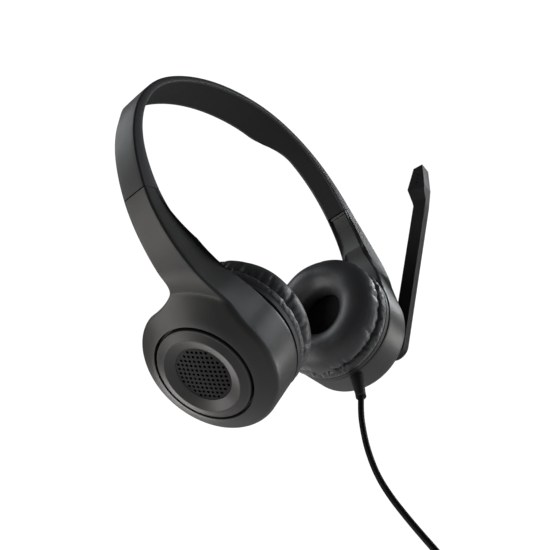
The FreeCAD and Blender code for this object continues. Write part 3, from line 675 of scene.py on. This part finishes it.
# Each turn's place in the bundle: outwards from the coil's middle line, and towards the rear.
TURN_PLACES = [(5.2, 0.0), (4.5, 2.6), (3.0, 5.2), (0.0, 5.2), (1.5, 2.6), (2.6, -0.1),
               (4.5, -2.6), (3.0, -5.2), (0.0, -5.2), (1.5, -2.6), (-0.4, 0.0), (-1.5, 2.6),
               (-3.4, 0.0), (-1.5, -2.6), (-3.0, -5.2)]
POINTS_PER_TURN = 14
RELIEF_ANGLE = math.radians(6.5)    # strain relief, measured from straight below the cup
RELIEF_END = (44.5, -17.0)          # radius and height of its thin end
COIL_SECTION = 7.0                  # radius of the bundle of turns
PLUG_DROP = 6.0                     # the plug's top: below the coil's centre,
PLUG_FORWARD = 4.4                  # and in front of the bundle
PLUG_LOOP = ((10.0, 7.6, 27.5), (3.4, 3.8, 31.2), (-1.6, 0.5, 27.4), (-1.3, -0.6, 19.0),
             (0.0, 0.0, 7.0))       # last turn's way over the coil to the plug's top


def relief_end():
    """Where the cord leaves the strain relief."""
    radius, height = RELIEF_END
    return cup_point(-math.sin(RELIEF_ANGLE) * radius, -math.cos(RELIEF_ANGLE) * radius, height)


def coil_points():
    """Points of the bundle's turns, each sliding over to the next one's place; its centre."""
    centre = array(CORD_ROUTE[-1]) + np.array([COIL_R + OUTER_TURN, 0.0, -CORD_REACH])
    points = [tuple(array(CORD_ROUTE[-1]) - np.array([0.0, 0.0, CORD_REACH - 2.0]))]
    per_turn = POINTS_PER_TURN
    total = len(TURN_PLACES) * per_turn - 4
    for i in range(2, total):
        place = i / per_turn
        turn = min(int(place), len(TURN_PLACES) - 1)
        after = min(turn + 1, len(TURN_PLACES) - 1)
        t = float(smoothstep(0.0, 1.0, place - turn))
        radial = TURN_PLACES[turn][0] * (1 - t) + TURN_PLACES[after][0] * t
        rear = TURN_PLACES[turn][1] * (1 - t) + TURN_PLACES[after][1] * t
        angle = math.pi + 2 * math.pi * place
        r = (COIL_R + radial) / math.cos(math.pi / per_turn) ** 0.5
        points.append((centre[0] + r * math.cos(angle), centre[1] + rear,
                       centre[2] + r * math.sin(angle)))
    return points, centre


def cord():
    exit_point = relief_end()
    points = [tuple(exit_point)] + CORD_ROUTE
    turns, centre = coil_points()
    points += turns
    plug_top = centre + np.array([0.0, -COIL_SECTION - PLUG_FORWARD, -PLUG_DROP])
    for away in PLUG_LOOP:
        points.append(tuple(plug_top + np.array(away)))
    data = bpy.data.curves.new("cable", "CURVE")
    data.dimensions = "3D"
    data.resolution_u = 6
    data.bevel_depth = 1.0
    data.bevel_resolution = 5
    data.use_fill_caps = True
    spline = data.splines.new("NURBS")
    spline.points.add(len(points) - 1)
    for p, q in zip(spline.points, points):
        p.co = (q[0] * MM, q[1] * MM, q[2] * MM, 1.0)
        p.radius = CORD_D / 2 * MM
    spline.order_u = 3
    spline.use_endpoint_u = True
    obj = bpy.data.objects.new("cable", data)
    bpy.context.scene.collection.objects.link(obj)
    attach(obj, "left_arm")
    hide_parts("cord", "cord_coil")


# ---- materials -------------------------------------------------------------------------------
def new_material(name, colour, roughness, metallic=0.0, specular=0.5):
    mat = bpy.data.materials.new(name)
    mat.use_nodes = True
    nodes = mat.node_tree.nodes
    shader = nodes["Principled BSDF"]
    shader.inputs["Base Color"].default_value = (*colour, 1.0)
    shader.inputs["Roughness"].default_value = roughness
    shader.inputs["Metallic"].default_value = metallic
    shader.inputs["Specular IOR Level"].default_value = specular
    return mat, nodes, mat.node_tree.links, shader


def noise(nodes, links, coords, scale, detail=3.0, rough=0.55):
    """Noise fixed to the object's own coordinates."""
    tex = nodes.new("ShaderNodeTexNoise")
    tex.inputs["Scale"].default_value = scale
    tex.inputs["Detail"].default_value = detail
    tex.inputs["Roughness"].default_value = rough
    links.new(coords.outputs["Object"], tex.inputs["Vector"])
    return tex.outputs["Fac"]


def spread(nodes, links, value, low, high, from_low=0.3, from_high=0.7):
    node = nodes.new("ShaderNodeMapRange")
    node.inputs["From Min"].default_value = from_low
    node.inputs["From Max"].default_value = from_high
    node.inputs["To Min"].default_value = low
    node.inputs["To Max"].default_value = high
    links.new(value, node.inputs["Value"])
    return node.outputs["Result"]


def tint(nodes, links, value, dark, light):
    node = nodes.new("ShaderNodeMix")
    node.data_type = "RGBA"
    node.inputs["A"].default_value = (*dark, 1.0)
    node.inputs["B"].default_value = (*light, 1.0)
    links.new(value, node.inputs["Factor"])
    return node.outputs["Result"]


def bump(nodes, links, height, shader, strength, distance, below=None):
    node = nodes.new("ShaderNodeBump")
    node.inputs["Strength"].default_value = strength
    node.inputs["Distance"].default_value = distance
    links.new(height, node.inputs["Height"])
    if below is not None:
        links.new(below, node.inputs["Normal"])
    links.new(node.outputs["Normal"], shader.inputs["Normal"])
    return node.outputs["Normal"]


def moulded(name, dark, light, rough, grain, depth, specular=0.5, metallic=0.0):
    """Moulded surface: fine grain, slow changes of gloss, faint cloudiness of colour."""
    mat, nodes, links, shader = new_material(name, dark, rough[0], metallic, specular)
    coords = nodes.new("ShaderNodeTexCoord")
    slow = noise(nodes, links, coords, 60.0)
    fine = noise(nodes, links, coords, grain, 2.0, 0.6)
    links.new(tint(nodes, links, slow, dark, light), shader.inputs["Base Color"])
    links.new(spread(nodes, links, slow, *rough), shader.inputs["Roughness"])
    bump(nodes, links, fine, shader, depth, 0.0002)
    return mat


def leather(name):
    """Black leatherette: pebbled cells over soft creasing, a low sheen."""
    mat, nodes, links, shader = new_material(name, (0.008, 0.008, 0.0085), 0.42)
    coords = nodes.new("ShaderNodeTexCoord")
    cells = nodes.new("ShaderNodeTexVoronoi")
    cells.feature = "SMOOTH_F1"
    cells.inputs["Scale"].default_value = 1250.0
    links.new(coords.outputs["Object"], cells.inputs["Vector"])
    folds = noise(nodes, links, coords, 320.0, 4.0, 0.6)
    slow = noise(nodes, links, coords, 70.0)
    links.new(tint(nodes, links, slow, (0.025, 0.0265, 0.029), (0.036, 0.0375, 0.0405)),
              shader.inputs["Base Color"])
    links.new(spread(nodes, links, slow, 0.36, 0.5), shader.inputs["Roughness"])
    first = bump(nodes, links, folds, shader, 0.25, 0.0004)
    bump(nodes, links, cells.outputs["Distance"], shader, 0.22, 0.0002, first)
    shader.inputs["Coat Weight"].default_value = 0.05
    shader.inputs["Coat Roughness"].default_value = 0.35
    return mat


def woven(name, dark, light, pitch):
    """Cloth: two crossed sets of threads."""
    mat, nodes, links, shader = new_material(name, dark, 0.85, specular=0.25)
    coords = nodes.new("ShaderNodeTexCoord")
    wave = []
    for direction in ("X", "Z"):
        node = nodes.new("ShaderNodeTexWave")
        node.bands_direction = direction
        node.inputs["Scale"].default_value = pitch
        node.inputs["Distortion"].default_value = 0.6
        links.new(coords.outputs["Object"], node.inputs["Vector"])
        wave.append(node.outputs["Fac"])
    both = nodes.new("ShaderNodeMath")
    both.operation = "MULTIPLY"
    links.new(wave[0], both.inputs[0])
    links.new(wave[1], both.inputs[1])
    links.new(tint(nodes, links, both.outputs[0], dark, light), shader.inputs["Base Color"])
    bump(nodes, links, both.outputs[0], shader, 0.5, 0.0002)
    shader.inputs["Sheen Weight"].default_value = 0.2
    return mat


LOOKS = (
    ("shell_plastic", moulded, (0.0125, 0.0125, 0.012), (0.0165, 0.0165, 0.016),
     (0.37, 0.45), 2600.0, 0.06),
    ("band_plastic", moulded, (0.0105, 0.011, 0.012), (0.0135, 0.014, 0.0155),
     (0.45, 0.54), 2600.0, 0.02),
    ("inner_plastic", moulded, (0.009, 0.009, 0.0095), (0.013, 0.013, 0.0135),
     (0.5, 0.62), 2000.0, 0.12),
    ("grille_plastic", moulded, (0.003, 0.0035, 0.0045), (0.005, 0.0055, 0.0065),
     (0.42, 0.52), 2600.0, 0.12, 0.18),
    ("boom_plastic", moulded, (0.0125, 0.013, 0.014), (0.015, 0.0155, 0.0165),
     (0.5, 0.6), 2600.0, 0.12, 0.14),
    ("leatherette", leather),
    ("foam", moulded, (0.03, 0.03, 0.03), (0.05, 0.05, 0.05), (0.9, 1.0), 1800.0, 0.6, 0.2),
    ("cloth", woven, (0.006, 0.006, 0.006), (0.02, 0.02, 0.02), 700.0),
    ("spring_steel", moulded, (0.42, 0.43, 0.45), (0.55, 0.56, 0.58),
     (0.22, 0.36), 900.0, 0.05, 0.5, 1.0),
    ("screw_steel", moulded, (0.30, 0.30, 0.31), (0.44, 0.44, 0.45),
     (0.28, 0.42), 1500.0, 0.08, 0.5, 1.0),
    ("magnet", moulded, (0.35, 0.35, 0.36), (0.45, 0.45, 0.46),
     (0.3, 0.45), 900.0, 0.05, 0.5, 1.0),
    ("film", moulded, (0.25, 0.22, 0.16), (0.32, 0.29, 0.22), (0.25, 0.4), 500.0, 0.05),
    ("board", moulded, (0.01, 0.07, 0.03), (0.015, 0.1, 0.045), (0.4, 0.5), 700.0, 0.1),
    ("capsule_metal", moulded, (0.4, 0.4, 0.4), (0.5, 0.5, 0.5),
     (0.3, 0.4), 1200.0, 0.05, 0.5, 1.0),
    ("boot_rubber", moulded, (0.008, 0.008, 0.008), (0.013, 0.013, 0.013),
     (0.6, 0.75), 1800.0, 0.15, 0.35),
    ("cord_rubber", moulded, (0.002, 0.002, 0.0022), (0.003, 0.003, 0.0033),
     (0.5, 0.62), 1600.0, 0.12, 0.12),
    ("lead_jacket", moulded, (0.02, 0.02, 0.02), (0.03, 0.03, 0.03), (0.5, 0.6), 1500.0, 0.08),
    ("tie_fabric", woven, (0.008, 0.008, 0.008), (0.03, 0.03, 0.03), 450.0),
    ("plug_plastic", moulded, (0.01, 0.01, 0.0105), (0.015, 0.015, 0.0155),
     (0.4, 0.5), 2400.0, 0.1),
    ("plug_metal", moulded, (0.78, 0.62, 0.32), (0.86, 0.70, 0.40),
     (0.16, 0.26), 900.0, 0.04, 0.5, 1.0),
    ("plug_insulator", moulded, (0.01, 0.01, 0.01), (0.02, 0.02, 0.02),
     (0.4, 0.5), 2000.0, 0.08),
)
SLOTS = {name: make(name, *look) for name, make, *look in LOOKS}


def paint(obj, mat):
    if not obj.data.materials:
        obj.data.materials.append(None)
    for slot in obj.material_slots:
        slot.link = "OBJECT"
        slot.material = mat


# ---- stage -----------------------------------------------------------------------------------
CAMERA_RIGHT = (0.54702, -0.73431, -0.40194)
CAMERA_UP = (0.02063, -0.46818, 0.88339)
CAMERA_BACK = (-0.83686658, -0.491523, -0.2409553)
CAMERA_PLACE = (-0.300317, -0.179359, -0.070152)
LENS = 48.754
SENSOR = 36.0
FLOOR_Z = -0.62
FLOOR_HALF = 20
HEADSET = (-0.02, 0.0, 0.0)                 # what the lights are aimed at
NEAR_CUP = (-0.0645, 0.0056, -0.0202)
# Name, place and aim in metres, size, watts, colour.
LIGHTS = (
    ("rear_left", (-0.93, 0.84, 0.38), HEADSET, 0.8, 6.4, (1.0, 0.98, 0.955)),
    ("near_left", (-0.2685, 0.2186, -0.071), NEAR_CUP, 0.12, 0.2, (1.0, 0.98, 0.955)),
    ("rear_low", (0.05, 1.1, -0.3), HEADSET, 0.45, 2.6, (1.0, 0.975, 0.94)),
    ("rear_top", (-0.12, 0.7, 1.1), HEADSET, 0.6, 3.6, (0.95, 0.98, 1.0)),
    ("front", (0.66, -1.0, 0.08), HEADSET, 0.45, 2.4, (0.9, 0.96, 1.0)),
    ("front_low", (0.9, -0.6, -0.56), HEADSET, 0.35, 3.6, (1.0, 0.99, 0.97)),
    ("edge", (1.2, -0.45, 0.2), HEADSET, 0.3, 4.0, (0.95, 0.98, 1.0)),
)
# Strength as light on the object, then as the camera sees it.
WORLD_WHITE = (0.10, 1.05)
FLOOR_WHITE = (0.15, 1.0)


def camera():
    data = bpy.data.cameras.new("camera")
    data.lens = LENS
    data.sensor_width = SENSOR
    data.clip_start = 0.01
    data.clip_end = 50.0
    obj = bpy.data.objects.new("camera", data)
    axes = [Vector(axis) for axis in (CAMERA_RIGHT, CAMERA_UP, CAMERA_BACK)]
    obj.matrix_world = Matrix.Translation(CAMERA_PLACE) @ Matrix(axes).transposed().to_4x4()
    bpy.context.scene.collection.objects.link(obj)
    bpy.context.scene.camera = obj


def area_light(name, place, aim, size, watts, colour):
    data = bpy.data.lights.new(name, "AREA")
    data.shape = "SQUARE"
    data.size = size
    data.energy = watts
    data.color = colour
    obj = bpy.data.objects.new(name, data)
    obj.location = place
    obj.visible_camera = False
    obj.rotation_euler = (Vector(aim) - Vector(place)).to_track_quat("-Z", "Y").to_euler()
    bpy.context.scene.collection.objects.link(obj)


def white_for_camera(tree, shade_strength, seen_strength):
    """Emission that the camera sees brighter than it lights the object."""
    path = tree.nodes.new("ShaderNodeLightPath")
    strength = tree.nodes.new("ShaderNodeMapRange")
    strength.inputs["To Min"].default_value = shade_strength
    strength.inputs["To Max"].default_value = seen_strength
    tree.links.new(path.outputs["Is Camera Ray"], strength.inputs["Value"])
    return strength.outputs["Result"]


def stage():
    scene = bpy.context.scene
    scene.view_settings.view_transform = "Standard"
    scene.view_settings.look = "None"
    world = bpy.data.worlds.new("studio")
    world.use_nodes = True
    scene.world = world
    tree = world.node_tree
    background = tree.nodes["Background"]
    background.inputs["Color"].default_value = (1.0, 1.0, 1.0, 1.0)
    tree.links.new(white_for_camera(tree, *WORLD_WHITE), background.inputs["Strength"])

    mesh = bpy.data.meshes.new("floor")
    mesh.from_pydata([(x * FLOOR_HALF, y * FLOOR_HALF, FLOOR_Z)
                      for x, y in ((-1, -1), (1, -1), (1, 1), (-1, 1))], [], [(0, 1, 2, 3)])
    floor = bpy.data.objects.new("floor", mesh)
    scene.collection.objects.link(floor)
    mat, _, links, shader = new_material("floor", (0.85, 0.85, 0.85), 0.9, specular=0.1)
    shader.inputs["Emission Color"].default_value = (1.0, 1.0, 1.0, 1.0)
    links.new(white_for_camera(mat.node_tree, *FLOOR_WHITE), shader.inputs["Emission Strength"])
    paint(floor, mat)

    for light in LIGHTS:
        area_light(*light)


# ---- build -----------------------------------------------------------------------------------
camera()
cord()
arm_shell("left")
arm_shell("right")
headband()
cushions()
stage()

soft = {"left_cushion": "leatherette", "right_cushion": "leatherette", "cable": "cord_rubber",
        "left_shell": "shell_plastic", "right_shell": "shell_plastic",
        "headband": "band_plastic"}
for piece, slot_name in soft.items():
    paint(bpy.data.objects[piece], SLOTS[slot_name])
for part in frame["record"]["subparts"]:
    paint(frame["nodes"][part["node"]], SLOTS[part["material_slot"]])
# These three look different in the photograph from their slots' other pieces.
for node, slot_name in (("strain_relief", "boot_rubber"), ("headband_liner", "boom_plastic"),
                        ("guide_screws", "boom_plastic")):
    paint(frame["nodes"][node], SLOTS[slot_name])
